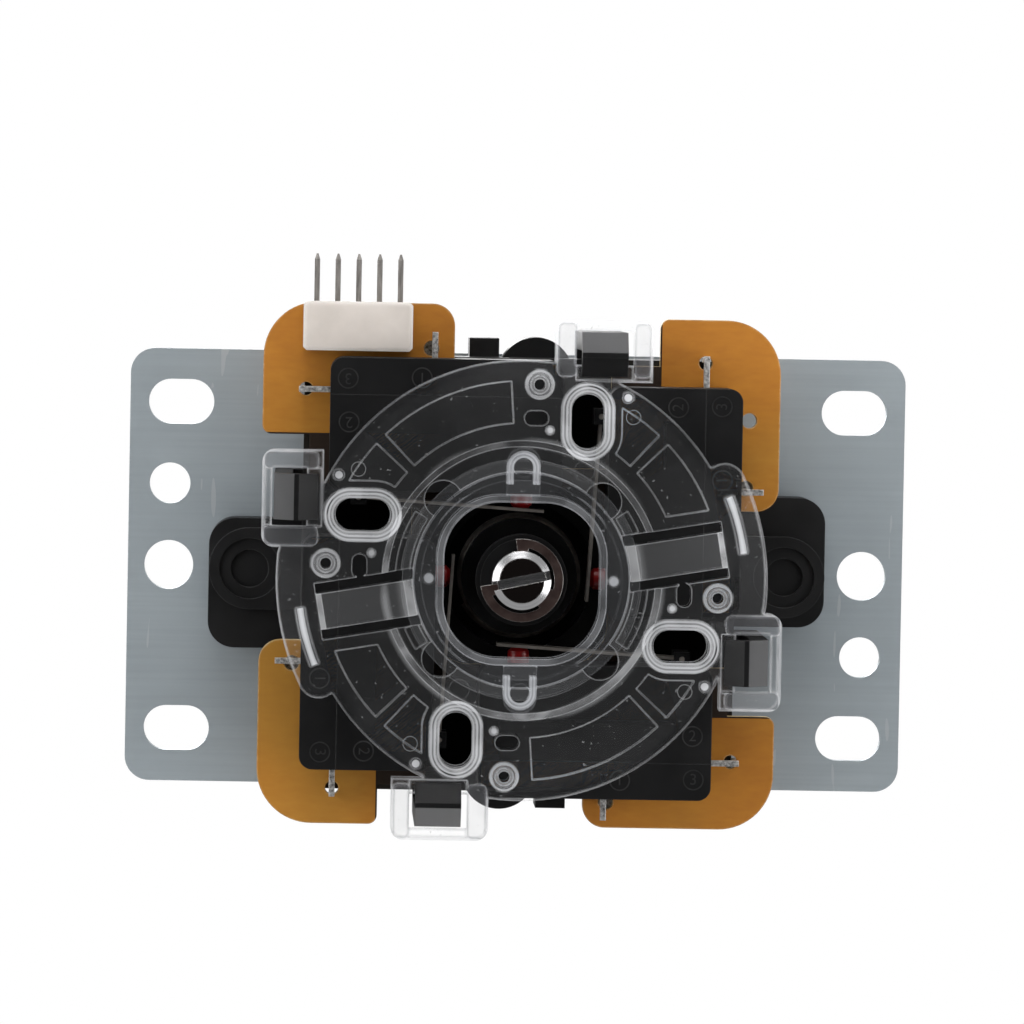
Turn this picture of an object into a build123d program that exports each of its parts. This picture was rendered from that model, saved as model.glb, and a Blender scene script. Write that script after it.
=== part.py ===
from build123d import *
import math
import os

# Arcade joystick lever, seen in its own frame: millimetres, +Z up towards the ball.
# The origin is the centre of the mounting plate's top face, on the axis of the shaft.
# Heights below the plate are negative. Everything that comes four times around the
# shaft is drawn once, on the north side (towards -Y), and turned by quarter turns.

os.makedirs("parts", exist_ok=True)

# Mounting plate
plate_length = 95.0
plate_width = 53.0
plate_thickness = 1.6
plate_corner = 3.0
bolt_slot_inset_x = 6.25
bolt_slot_inset_y = 6.5
bolt_slot_length = 8.0
bolt_slot_width = 5.5
side_hole_inset = 5.0
side_hole_diameter = 6.0
pilot_hole_diameter = 5.0
pilot_hole_offset = 10.0
shaft_window_diameter = 18.0

# Screws that hold the housing to the plate
screw_spacing = 65.0
screw_diameter = 4.0
screw_head_diameter = 7.0
screw_length = 5.6
screw_drive_width = 1.0
screw_drive_depth = 0.7
screw_clearance = 0.2
thread_clearance = 0.05

# Housing
housing_side = 52.4
housing_depth = 12.8
housing_corner = 3.0
housing_wall = 2.2
housing_skin = 2.6
housing_rib = 1.6
tower_radius = 11.0
ear_reach = 37.5
ear_width = 15.8
ear_shift = 1.8
ear_corner = 3.2
ear_depth = 6.4
ear_pad_diameter = 9.9
ear_pad_height = 1.2
ear_recess_diameter = 7.4
ear_recess_depth = 0.4
ear_dish_diameter = 4.6
ear_dish_depth = 0.9
wall_bump_radius = 4.5
wall_bump_offset = 1.8
wall_bump_reach = 28.7
wall_tab_width = 3.6
wall_tab_offset = -4.5
wall_tab_reach = 28.5
wall_rib_depth = 8.4

# Ball joint of the lever
pivot_depth = 5.0
pivot_radius = 6.2
pivot_half_height = 3.9
liner_wall = 0.95
liner_half_height = 3.6
running_clearance = 0.06
bowl_mouth_radius = 5.5
bowl_flare = 1.0
bowl_floor_depth = 11.0
spring_bay_radius = 9.0

# Lever
ball_diameter = 35.0
ball_center_height = 47.0
ball_foot_radius = 5.0
shaft_diameter = 8.0
shaft_lower_diameter = 7.0
shaft_shoulder_depth = 1.0
stud_diameter = 6.0
stud_length = 13.0
stud_end_gap = 1.0
shaft_end_depth = 30.1
shaft_end_chamfer = 0.85
driver_slot_width = 1.1
driver_slot_depth = 1.0
driver_slot_angle = -12.0

# Actuator that works the switches, with its washer and retaining clip
actuator_top_gap = 0.1
actuator_hub_radius = 4.4
actuator_flange_radius = 6.95
actuator_flange_depth = 16.5
actuator_flange_thickness = 1.5
actuator_waist_radius = 4.5
actuator_rim_radius = 5.45
actuator_rim_height = 2.6
actuator_end_depth = 28.2
thrust_washer_radius = 4.9
thrust_washer_thickness = 0.3
stack_gap = 0.05
clip_radius = 4.95
clip_groove_radius = 2.9
clip_thickness = 0.6
clip_opening_angle = 90.0
clip_opening_direction = 216.0
clip_prong_angle = 40.0
clip_relief_radius = 3.9

# Return spring
spring_wire = 0.9
spring_top_radius = 7.4
spring_bottom_radius = 5.9
spring_turns = 3.25

# Dust washer
dust_washer_diameter = 36.0
dust_washer_hole = 11.2
dust_washer_thickness = 1.0
dust_washer_rim = 0.4

# Circuit board
board_thickness = 1.6
board_core = 51.0
board_reach = 31.2
header_lobe_extra = 1.4
south_trim = 0.9
lobe_inner_end = 8.2
lobe_inner_edge = 16.6
lobe_outer_corner = 6.6
lobe_end_corner = 2.7
lobe_inner_corner = 1.1
lobe_hole_x = 27.5
lobe_hole_y = -19.15
board_gap_margin = 0.6
board_ring_reach = 13.0
board_opening = 21.6
board_opening_corner = 5.0
board_hole_diameter = 1.8

# Snap switches
switch_length = 27.8
switch_width = 15.9
switch_height = 10.3
switch_inner_reach = 10.2
switch_end_reach = 4.7
switch_corner = 1.6
switch_base_width = 4.4
plunger_diameter = 2.6
plunger_clearance = 0.05
plunger_tip_gap = 0.05
blade_bay_length = 21.0
blade_bay_width = 4.6
blade_bay_height = 6.0
blade_thickness = 0.3
blade_width = 3.2
contact_diameter = 1.8
contact_height = 0.5

# Leaf levers of the switches
leaf_thickness = 0.35
leaf_width = 3.6
leaf_reach = 8.0
leaf_tip = 2.7
leaf_hinge_offset = 19.5
leaf_hinge_reach = 9.35
leaf_curl_radius = 0.6
hinge_pin_radius = 0.3
hinge_lug_thickness = 0.8
hinge_lug_width = 1.9
hinge_lug_reach = 8.5
hinge_clearance = 0.05
hinge_side_play = 0.1

# Switch terminals: pins over the board, each with a leg that is soldered into a hole
terminal_width = 0.7
terminal_depth = 18.6
side_terminal_offset = 10.6
side_terminal_reach = 29.2
side_leg_reach = 27.2
side_hole_shift = 0.4
end_terminal_inset = 4.0
end_terminal_reach = 26.85
end_leg_reach = 26.35
end_hole_reach = 26.0
end_hole_diameter = 1.6
terminal_root = 2.4
terminal_leg_width = 0.5
terminal_tail = 0.7
solder_foot_radius = 0.95
solder_tip_radius = 0.5
solder_height = 0.8

# Connector
header_length = 13.1
header_width = 5.9
header_height = 5.6
header_center_x = -19.9
header_outer_reach = 32.7
pin_count = 5
pin_pitch = 2.5
pin_size = 0.64
pin_reach = 38.4
pin_rise = 3.0
pin_foot_inset = 4.4
pin_tip_length = 0.7
pin_hole_play = 0.3
header_corner = 0.4

# Clear gate frame
gate_radius = 26.2
gate_thickness = 3.6
gate_boss_height = 0.6
gate_bore_radius = 12.9
gate_step_radius = 16.6
gate_step_depth = 1.1
gate_counterbore_radius = 14.4
gate_counterbore_depth = 1.0
grip_radius = 29.2
grip_corner = 2.5
grip_start = -31.8
grip_end = 10.5
grip_ridge_radius = 26.5
grip_ridge_width = 1.0
grip_ridge_start = -23.0
grip_ridge_end = -8.0
latch_tab_start = 3.5
latch_tab_end = 15.1
latch_tab_reach = 31.0
latch_tab_corner = 1.5
latch_cheek_corner = 0.6
latch_cheek_margin = 0.3
latch_cheek_inner = 24.4
latch_bar_depth = 1.6
latch_window_start = 6.0
latch_window_end = 12.9
latch_window_inner = 23.9
latch_window_outer = 29.8
latch_ledge_reach = 25.7
latch_ledge_thickness = 1.5
oval_width = 6.3
oval_length = 9.25
oval_hole_width = 3.9
oval_hole_length = 6.5
oval_step_width = 0.45
oval_step_depth = 0.5
oval_offset = 7.5
oval_reach = 19.0
ring_boss_diameter = 3.4
ring_boss_hole = 1.3
ring_groove_outer = 1.4
ring_groove_inner = 1.1
ring_boss_offset = 1.7
ring_boss_reach = 23.3
small_slot_length = 2.8
small_slot_width = 1.7
small_slot_offset = 1.4
small_slot_reach = 19.3
pad_inner_radius = 18.7
pad_outer_radius = 23.7
pad_depth = 0.5
big_pad_start = -134.0
big_pad_end = -94.0
small_pad_start = -63.0
small_pad_end = -47.6
small_pad_margin = 0.9
tongue_angle = -9.7
tongue_width = 4.3
tongue_slot_width = 1.2
tongue_inner = 12.6
tongue_outer = 24.4
tongue_margin = 4.9
tongue_rise = 0.5
tongue_inner_slope = 1.0
tongue_outer_slope = 0.6
tongue_end_gap = 0.3
arc_pad_start = -178.0
arc_pad_end = -148.0
short_pad_start = -34.0
short_pad_end = -23.5
arc_pad_inner = 13.4
arc_pad_outer = 15.0
step_taper = 32.0
corner_pip_radius = 0.6
corner_pip_offset = 12.2
corner_pip_reach = 21.9
slot_pip_radius = 0.5
slot_pip_offset = 3.0
slot_pip_reach = 17.9
pip_height = 0.5
notch_radius = 2.2
notch_reach = 13.4

# Clear gate insert, which turns in the frame
insert_opening = 18.5
insert_opening_corner = 6.6
insert_wall = 0.85
insert_top_gap = 0.1
insert_foot_gap = 0.3
insert_web_thickness = 1.2
insert_flange_radius = 14.2
insert_flange_thickness = 0.85
insert_rim_wall = 0.9
insert_tab_width = 4.0
insert_tab_corner = 1.8
insert_tab_reach = 15.8
insert_tab_thickness = 1.0
insert_tab_hole = 2.3
insert_tab_hole_reach = 13.4
insert_pip_radius = 0.75
insert_pip_height = 0.6
insert_pip_reach = 11.0

# Latch arms of the housing
latch_arm_start = 6.7
latch_arm_end = 12.2
latch_arm_inner = 27.4
latch_arm_outer = 29.6
latch_arm_root = 5.5
latch_nose_reach = 24.3
latch_nose_height = 1.9
latch_nose_slope = 2.3
latch_tip_bevel = 2.4
latch_clearance = 0.1

# Spacings and heights that follow from the sizes above
bolt_spacing_x = plate_length - 2 * bolt_slot_inset_x
bolt_spacing_y = plate_width - 2 * bolt_slot_inset_y
side_hole_spacing = plate_length - 2 * side_hole_inset
housing_top = -plate_thickness
housing_bottom = housing_top - housing_depth
board_bottom = housing_bottom - board_thickness
switch_bottom = board_bottom - switch_height
switch_middle = board_bottom - switch_height / 2
gate_top = switch_bottom
gate_face = gate_top - gate_thickness
gate_foot = gate_face - gate_boss_height
pivot_height = -pivot_depth
liner_radius = pivot_radius + running_clearance + liner_wall
bowl_radius = liner_radius + running_clearance
ball_radius = ball_diameter / 2
ball_foot = ball_center_height - math.sqrt(ball_radius**2 - ball_foot_radius**2)
actuator_top = pivot_height - pivot_half_height - actuator_top_gap
actuator_bottom = -actuator_end_depth
washer_top = actuator_bottom - stack_gap
clip_top = washer_top - thrust_washer_thickness - stack_gap
lower_bore_radius = shaft_lower_diameter / 2 + running_clearance
spring_top = -bowl_floor_depth
spring_bottom = -actuator_flange_depth
plunger_tip = leaf_reach + leaf_thickness + plunger_tip_gap
switch_outer_reach = switch_inner_reach + switch_width
switch_split_reach = switch_outer_reach - switch_base_width
switch_center_x = switch_end_reach - switch_length / 2
switch_far_end = switch_end_reach - switch_length
stations = {"north": 0.0, "east": 90.0, "south": 180.0, "west": 270.0}


def ring_sector(inner, outer, start, end):
    """Flat piece of a ring between two radii and two angles."""
    with BuildSketch(mode=Mode.PRIVATE) as sector:
        with BuildLine():
            inside = CenterArc((0, 0), inner, start, end - start)
            outside = CenterArc((0, 0), outer, start, end - start)
            Line(inside @ 0, outside @ 0)
            Line(inside @ 1, outside @ 1)
        make_face()
    return sector.sketch


# Mounting plate: steel, with four bolt slots and the round holes of common panels
with BuildPart() as mounting_plate:
    with BuildSketch():
        RectangleRounded(plate_length, plate_width, plate_corner)
        Circle(shaft_window_diameter / 2, mode=Mode.SUBTRACT)
        with GridLocations(bolt_spacing_x, bolt_spacing_y, 2, 2):
            SlotOverall(bolt_slot_length, bolt_slot_width, mode=Mode.SUBTRACT)
        with GridLocations(side_hole_spacing, 0, 2, 1):
            Circle(side_hole_diameter / 2, mode=Mode.SUBTRACT)
        with PolarLocations(0, 2):
            with Locations((side_hole_spacing / 2, pilot_hole_offset)):
                Circle(pilot_hole_diameter / 2, mode=Mode.SUBTRACT)
    extrude(amount=-plate_thickness)
    with GridLocations(screw_spacing, 0, 2, 1):
        CounterSinkHole(
            radius=screw_diameter / 2 + screw_clearance,
            counter_sink_radius=screw_head_diameter / 2 + screw_clearance,
            counter_sink_angle=90,
        )
mounting_plate.part.label = "mounting_plate"
export_step(mounting_plate.part, "parts/mounting_plate.step")

# Housing: a moulded box with two ears, a bowl for the ball joint and four latch arms
with BuildPart() as housing:
    with BuildSketch(Plane.XY.offset(housing_top)):
        RectangleRounded(housing_side, housing_side, housing_corner)
    extrude(amount=-housing_depth)
    with BuildSketch(Plane.XY.offset(housing_bottom)):
        bay_side = housing_side - 2 * housing_wall
        RectangleRounded(bay_side, bay_side, housing_corner)
        Circle(tower_radius, mode=Mode.SUBTRACT)
        with PolarLocations(0, 4):
            Rectangle(2 * bay_side, housing_rib, mode=Mode.SUBTRACT)
        with PolarLocations(0, 2, start_angle=45):
            Rectangle(2 * bay_side, housing_rib, mode=Mode.SUBTRACT)
    extrude(amount=housing_depth - housing_skin, mode=Mode.SUBTRACT)
    with BuildSketch(Plane.XY.offset(housing_top)):
        with PolarLocations(0, 2):
            with Locations((ear_reach / 2, -ear_shift)):
                RectangleRounded(ear_reach, ear_width, ear_corner)
        Rectangle(housing_side - housing_wall, housing_side, mode=Mode.SUBTRACT)
    extrude(amount=-ear_depth)
    with BuildSketch(Plane.XY.offset(housing_top - ear_depth)):
        with PolarLocations(0, 2):
            with Locations(((screw_spacing + housing_side) / 4, 0)):
                SlotCenterToCenter((screw_spacing - housing_side) / 2, ear_pad_diameter)
        Rectangle(housing_side - housing_wall, housing_side, mode=Mode.SUBTRACT)
    extrude(amount=-ear_pad_height)
    with BuildSketch(Plane.XY.offset(housing_top)):
        with PolarLocations(0, 2):
            with Locations((wall_bump_offset, wall_bump_radius - wall_bump_reach)):
                Circle(wall_bump_radius)
            with Locations((wall_tab_offset, (housing_wall - housing_side / 2 - wall_tab_reach) / 2)):
                Rectangle(wall_tab_width, wall_tab_reach - housing_side / 2 + housing_wall)
        Rectangle(housing_side, housing_side - 2 * housing_wall, mode=Mode.SUBTRACT)
    extrude(amount=-wall_rib_depth)
    with Locations(Plane.XY.offset(housing_top)):
        with GridLocations(screw_spacing, 0, 2, 1):
            screw_bore_depth = screw_length - plate_thickness + thread_clearance
            Hole(screw_diameter / 2 + thread_clearance, depth=screw_bore_depth)
    # Each ear's pad has a shallow recess and a deeper dish in it
    with BuildSketch(Plane.XY.offset(housing_top - ear_depth - ear_pad_height)):
        with GridLocations(screw_spacing, 0, 2, 1):
            Circle(ear_recess_diameter / 2)
    extrude(amount=ear_recess_depth, mode=Mode.SUBTRACT)
    with BuildSketch(Plane.XY.offset(housing_top - ear_depth - ear_pad_height)):
        with GridLocations(screw_spacing, 0, 2, 1):
            Circle(ear_dish_diameter / 2)
    extrude(amount=ear_dish_depth, mode=Mode.SUBTRACT)
    # Bowl of the ball joint, its flared mouth and the bay of the spring
    with BuildSketch(Plane.XZ):
        with BuildLine():
            mouth_angle = math.degrees(math.acos(bowl_mouth_radius / bowl_radius))
            bowl_arc = CenterArc((0, pivot_height), bowl_radius, -mouth_angle, mouth_angle)
            bowl_mouth = bowl_arc @ 0
            bowl_side = bowl_arc @ 1
            Polyline(
                bowl_side,
                (bowl_radius, housing_top),
                (0, housing_top),
                (0, housing_bottom),
                (spring_bay_radius, housing_bottom),
                (spring_bay_radius, spring_top),
                (bowl_mouth_radius + bowl_flare, spring_top),
                bowl_mouth,
            )
        make_face()
    revolve(axis=Axis.Z, mode=Mode.SUBTRACT)
    # Latch arms that reach down through the windows of the gate frame
    with BuildSketch(Plane.YZ.offset(latch_arm_start)) as arm_profile:
        with BuildLine():
            nose_top = gate_top - latch_ledge_thickness - latch_clearance
            arm_end = nose_top - latch_nose_height
            Polyline(
                (-housing_side / 2 + housing_wall / 2, housing_top - housing_skin),
                (-latch_arm_outer, housing_top - housing_skin),
                (-latch_arm_outer, arm_end + latch_tip_bevel),
                (-latch_arm_outer + latch_tip_bevel, arm_end),
                (-latch_nose_reach - latch_nose_slope, arm_end),
                (-latch_nose_reach, nose_top),
                (-latch_arm_inner, nose_top),
                (-latch_arm_inner, housing_top - housing_skin - latch_arm_root),
                (-housing_side / 2 + housing_wall / 2, housing_top - housing_skin - latch_arm_root),
                close=True,
            )
        make_face()
    latch_arm = extrude(amount=latch_arm_end - latch_arm_start)
    add([latch_arm.rotate(Axis.Z, turn) for turn in (90, 180, 270)])
housing.part.label = "housing"
export_step(housing.part, "parts/housing.step")

# Two countersunk screws from above
with BuildPart() as plate_screws:
    with BuildSketch(Plane.XZ):
        with BuildLine():
            head_depth = (screw_head_diameter - screw_diameter) / 2
            Polyline(
                (0, 0),
                (screw_head_diameter / 2, 0),
                (screw_diameter / 2, -head_depth),
                (screw_diameter / 2, -screw_length + screw_diameter / 4),
                (screw_diameter / 4, -screw_length),
                (0, -screw_length),
                close=True,
            )
        make_face()
    revolve(axis=Axis.Z)
    with BuildSketch():
        with PolarLocations(0, 2):
            Rectangle(screw_diameter, screw_drive_width)
        Rectangle(screw_drive_width, screw_diameter)
    extrude(amount=-screw_drive_depth, mode=Mode.SUBTRACT)
left_screw = plate_screws.part.moved(Location((-screw_spacing / 2, 0, 0)))
right_screw = plate_screws.part.moved(Location((screw_spacing / 2, 0, 0)))
screw_pair = Compound(children=[*left_screw.solids(), *right_screw.solids()], label="plate_screws")
export_step(screw_pair, "parts/plate_screws.step")

# Dust washer, a disc that lies on the plate round the shaft
with BuildPart() as dust_washer:
    with BuildSketch():
        Circle(dust_washer_diameter / 2)
        Circle(dust_washer_hole / 2, mode=Mode.SUBTRACT)
    extrude(amount=dust_washer_thickness)
    chamfer(dust_washer.edges().group_by(Axis.Z)[-1].sort_by(SortBy.RADIUS)[-1], dust_washer_rim)
dust_washer.part.label = "dust_washer"
export_step(dust_washer.part, "parts/dust_washer.step")

# Inner part of the ball joint, a zone of a ball bored for the shaft
with BuildPart() as pivot_ball:
    with Locations((0, 0, pivot_height)):
        Sphere(pivot_radius)
        Box(4 * pivot_radius, 4 * pivot_radius, 2 * pivot_half_height, mode=Mode.INTERSECT)
        Cylinder(lower_bore_radius, 4 * pivot_radius, mode=Mode.SUBTRACT)
pivot_ball.part.label = "pivot_ball"
export_step(pivot_ball.part, "parts/pivot_ball.step")

# Liner between the ball and the bowl, which takes the first of the two tilts
with BuildPart() as pivot_liner:
    with Locations((0, 0, pivot_height)):
        Sphere(liner_radius)
        Box(4 * pivot_radius, 4 * pivot_radius, 2 * liner_half_height, mode=Mode.INTERSECT)
        Sphere(pivot_radius + running_clearance, mode=Mode.SUBTRACT)
pivot_liner.part.label = "pivot_liner"
export_step(pivot_liner.part, "parts/pivot_liner.step")

# Shaft: turned steel with a stud for the ball, a clip groove and a driver slot
with BuildPart() as shaft:
    with BuildSketch(Plane.XZ):
        with BuildLine():
            lower_radius = shaft_lower_diameter / 2
            stud_end = ball_foot + stud_length
            Polyline(
                (0, -shaft_end_depth),
                (lower_radius - shaft_end_chamfer, -shaft_end_depth),
                (lower_radius, -shaft_end_depth + shaft_end_chamfer / 2),
                (lower_radius, clip_top - clip_thickness),
                (clip_groove_radius, clip_top - clip_thickness),
                (clip_groove_radius, clip_top),
                (lower_radius, clip_top),
                (lower_radius, -shaft_shoulder_depth),
                (shaft_diameter / 2, -shaft_shoulder_depth),
                (shaft_diameter / 2, ball_foot),
                (stud_diameter / 2, ball_foot),
                (stud_diameter / 2, stud_end),
                (0, stud_end),
                close=True,
            )
        make_face()
    revolve(axis=Axis.Z)
    with BuildSketch(Plane.XY.offset(-shaft_end_depth)):
        Rectangle(shaft_diameter, driver_slot_width, rotation=driver_slot_angle)
    extrude(amount=driver_slot_depth, mode=Mode.SUBTRACT)
shaft.part.label = "shaft"
export_step(shaft.part, "parts/shaft.step")

# Ball top, with a blind bore for the stud and a small flat foot
with BuildPart() as ball_top:
    with Locations((0, 0, ball_center_height)):
        Sphere(ball_radius)
    with BuildSketch(Plane.XY.offset(ball_foot)):
        Circle(ball_foot_radius)
    extrude(amount=-ball_radius, mode=Mode.SUBTRACT)
    with BuildSketch(Plane.XY.offset(ball_foot)):
        Circle(stud_diameter / 2 + running_clearance)
    extrude(amount=stud_length + stud_end_gap, mode=Mode.SUBTRACT)
ball_top.part.label = "ball_top"
export_step(ball_top.part, "parts/ball_top.step")

# Actuator: a sleeve with a spring flange above and the rim that meets the gate below
with BuildPart() as actuator:
    with BuildSketch(Plane.XZ):
        with BuildLine():
            flange_bottom = -actuator_flange_depth - actuator_flange_thickness
            rim_top = actuator_bottom + actuator_rim_height
            rim_step = actuator_rim_radius - actuator_waist_radius
            Polyline(
                (lower_bore_radius, actuator_top),
                (actuator_hub_radius, actuator_top),
                (actuator_hub_radius, -actuator_flange_depth),
                (actuator_flange_radius, -actuator_flange_depth),
                (actuator_flange_radius, flange_bottom),
                (actuator_waist_radius, flange_bottom),
                (actuator_waist_radius, rim_top),
                (actuator_rim_radius, rim_top - rim_step / 2),
                (actuator_rim_radius, actuator_bottom),
                (lower_bore_radius, actuator_bottom),
                close=True,
            )
        make_face()
    revolve(axis=Axis.Z)
actuator.part.label = "actuator"
export_step(actuator.part, "parts/actuator.step")

# Thrust washer between the actuator and the clip
with BuildPart() as thrust_washer:
    with BuildSketch(Plane.XY.offset(washer_top)):
        Circle(thrust_washer_radius)
        Circle(lower_bore_radius, mode=Mode.SUBTRACT)
    extrude(amount=-thrust_washer_thickness)
thrust_washer.part.label = "thrust_washer"
export_step(thrust_washer.part, "parts/thrust_washer.step")

# Retaining clip: an open ring with three prongs in the groove of the shaft
with BuildPart() as e_clip:
    with BuildSketch(Plane.XY.offset(clip_top)):
        Circle(clip_radius)
        Circle(clip_groove_radius, mode=Mode.SUBTRACT)
        opening_half = clip_opening_angle / 2
        prong_half = clip_prong_angle / 2
        opposite = clip_opening_direction + 180
        add(
            ring_sector(
                clip_groove_radius / 2,
                2 * clip_radius,
                clip_opening_direction - opening_half,
                clip_opening_direction + opening_half,
            ),
            mode=Mode.SUBTRACT,
        )
        for side in (-1, 1):
            relief_ends = sorted(
                (
                    opposite + side * prong_half,
                    opposite + side * (180 - opening_half - prong_half),
                )
            )
            add(ring_sector(clip_groove_radius / 2, clip_relief_radius, *relief_ends), mode=Mode.SUBTRACT)
    extrude(amount=-clip_thickness)
e_clip.part.label = "e_clip"
export_step(e_clip.part, "parts/e_clip.step")

# Return spring: a conical coil between the floor of the bowl and the actuator flange
spring_rise = spring_top - spring_bottom - spring_wire
spring_cone = math.degrees(math.atan2(spring_top_radius - spring_bottom_radius, spring_rise))
with BuildPart() as return_spring:
    with BuildLine(Plane.XY.offset(spring_bottom + spring_wire / 2)) as spring_path:
        Helix(
            pitch=spring_rise / spring_turns,
            height=spring_rise,
            radius=spring_bottom_radius,
            cone_angle=spring_cone,
        )
    with BuildSketch(Plane(origin=spring_path.line @ 0, z_dir=spring_path.line % 0)):
        RegularPolygon(spring_wire / 2, 6)
    sweep(is_frenet=True)
return_spring.part.label = "return_spring"
export_step(return_spring.part, "parts/return_spring.step")



def board_lobe(turn, outer_reach, end_reach):
    """Lobe of the board beside the switch of one station, with three rounded corners."""
    with BuildSketch(mode=Mode.PRIVATE) as lobe:
        with Locations((-(end_reach + lobe_inner_end) / 2, -(outer_reach + lobe_inner_edge) / 2)):
            Rectangle(end_reach - lobe_inner_end, outer_reach - lobe_inner_edge)
        for corner_x, corner_y, corner_radius in (
            (-end_reach, -outer_reach, lobe_outer_corner),
            (-lobe_inner_end, -outer_reach, lobe_end_corner),
            (-end_reach, -lobe_inner_edge, lobe_inner_corner),
        ):
            fillet(lobe.vertices().sort_by_distance((corner_x, corner_y, 0))[0], corner_radius)
    return lobe.sketch.rotate(Axis.Z, turn)


# Circuit board: four lobes in a pinwheel, joined by a ring under the switches
side_hole_x = -side_terminal_offset - side_hole_shift
end_terminal_y = end_terminal_inset - switch_outer_reach
pin_foot_y = pin_foot_inset - header_outer_reach
pin_columns = [header_center_x + pin_pitch * (index - (pin_count - 1) / 2) for index in range(pin_count)]
with BuildPart() as circuit_board:
    with BuildSketch(Plane.XY.offset(housing_bottom)):
        Rectangle(board_core, board_core)
        # Gaps between the end of each switch and the next one
        gap_start = switch_end_reach - board_gap_margin
        gap_end = switch_inner_reach + board_gap_margin
        with PolarLocations(0, 4):
            with Locations(((gap_start + gap_end) / 2, -board_ring_reach - board_core / 2)):
                Rectangle(gap_end - gap_start, board_core, mode=Mode.SUBTRACT)
        add(board_lobe(stations["north"], board_reach + header_lobe_extra, board_reach))
        add(board_lobe(stations["east"], board_reach, board_reach))
        add(board_lobe(stations["south"], board_reach - south_trim, board_reach))
        add(board_lobe(stations["west"], board_reach, board_reach - south_trim))
        RectangleRounded(board_opening, board_opening, board_opening_corner, mode=Mode.SUBTRACT)
        with PolarLocations(0, 4):
            with Locations((side_hole_x, -side_leg_reach)):
                Circle(board_hole_diameter / 2, mode=Mode.SUBTRACT)
            with Locations((-end_hole_reach, end_terminal_y)):
                Circle(end_hole_diameter / 2, mode=Mode.SUBTRACT)
        with Locations((lobe_hole_x, lobe_hole_y)):
            Circle(board_hole_diameter / 2, mode=Mode.SUBTRACT)
        with Locations([(column, pin_foot_y) for column in pin_columns]):
            Rectangle(pin_size + pin_hole_play, pin_size + pin_hole_play, mode=Mode.SUBTRACT)
    extrude(amount=-board_thickness)
circuit_board.part.label = "circuit_board"
export_step(circuit_board.part, "parts/circuit_board.step")

# Base of the north switch: the narrow block along its outer side that holds the terminals
with BuildPart() as switch_base:
    with BuildSketch(Plane.XY.offset(board_bottom)) as base_outline:
        with Locations((switch_center_x, switch_base_width / 2 - switch_outer_reach)):
            Rectangle(switch_length, switch_base_width)
        fillet(base_outline.vertices().group_by(Axis.Y)[0], switch_corner)
    extrude(amount=-switch_height)
    with Locations((-side_terminal_offset, terminal_root / 2 - switch_outer_reach, -terminal_depth)):
        Box(terminal_width, terminal_root, terminal_width, mode=Mode.SUBTRACT)
    with Locations((switch_far_end + terminal_root / 2, end_terminal_y, -terminal_depth)):
        Box(terminal_root, terminal_width, terminal_width, mode=Mode.SUBTRACT)

# Cover of the north switch, with the bay of the snap blade, the plunger's bore and the hinge lugs
blade_bay_reach = switch_split_reach - blade_bay_width
blade_bay_center = switch_far_end + switch_length - plunger_diameter - blade_bay_length / 2
cover_width = switch_split_reach - switch_inner_reach
hinge_height = leaf_width + 2 * (hinge_side_play + hinge_lug_thickness)
with BuildPart() as switch_cover:
    with BuildSketch(Plane.XY.offset(board_bottom)) as cover_outline:
        with Locations((switch_center_x, cover_width / 2 - switch_split_reach)):
            Rectangle(switch_length, cover_width)
        fillet(cover_outline.vertices().group_by(Axis.Y)[-1], switch_corner)
    extrude(amount=-switch_height)
    with BuildSketch(Plane.XY.offset(switch_middle + hinge_height / 2)):
        with Locations((-leaf_hinge_offset, -(switch_split_reach + hinge_lug_reach) / 2)):
            Rectangle(hinge_lug_width, switch_split_reach - hinge_lug_reach)
    extrude(amount=-hinge_height)
    with BuildSketch(Plane.XY.offset(switch_middle + leaf_width / 2 + hinge_side_play)):
        with Locations((-leaf_hinge_offset, -switch_inner_reach / 2)):
            Rectangle(hinge_lug_width, switch_inner_reach)
    extrude(amount=-leaf_width - 2 * hinge_side_play, mode=Mode.SUBTRACT)
    with Locations((blade_bay_center, blade_bay_width / 2 - switch_split_reach, switch_middle)):
        Box(blade_bay_length, blade_bay_width, blade_bay_height, mode=Mode.SUBTRACT)
    with BuildSketch(Plane.XZ.offset(switch_inner_reach)):
        with Locations((0, switch_middle)):
            Circle(plunger_diameter / 2 + plunger_clearance)
    extrude(amount=blade_bay_reach - switch_inner_reach, mode=Mode.SUBTRACT)
    with Locations((-leaf_hinge_offset, -leaf_hinge_reach, switch_middle)):
        Cylinder(hinge_pin_radius + hinge_clearance, 2 * hinge_height, mode=Mode.SUBTRACT)

# Plunger of the north switch, with a bevelled tip
blade_top_reach = blade_bay_reach + blade_bay_width / 4
with BuildPart() as plunger:
    with BuildSketch(Plane.XZ.offset(plunger_tip)):
        with Locations((0, switch_middle)):
            Circle(plunger_diameter / 2)
    extrude(amount=blade_top_reach - plunger_tip - stack_gap)
    chamfer(plunger.edges().group_by(Axis.Y)[-1], plunger_diameter / 6)

# Snap blade of the north switch, with its contact rivet on the far side
with BuildPart() as snap_blade:
    with Locations((blade_bay_center, -blade_top_reach - blade_thickness / 2, switch_middle)):
        Box(blade_bay_length - 2 * stack_gap, blade_thickness, blade_width)
    with BuildSketch(Plane.XZ.offset(blade_top_reach)):
        contact_x = blade_bay_center + blade_bay_length / 2 - contact_diameter
        with Locations((contact_x, switch_middle)):
            Circle(contact_diameter / 2)
    extrude(amount=blade_thickness + contact_height)

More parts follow.
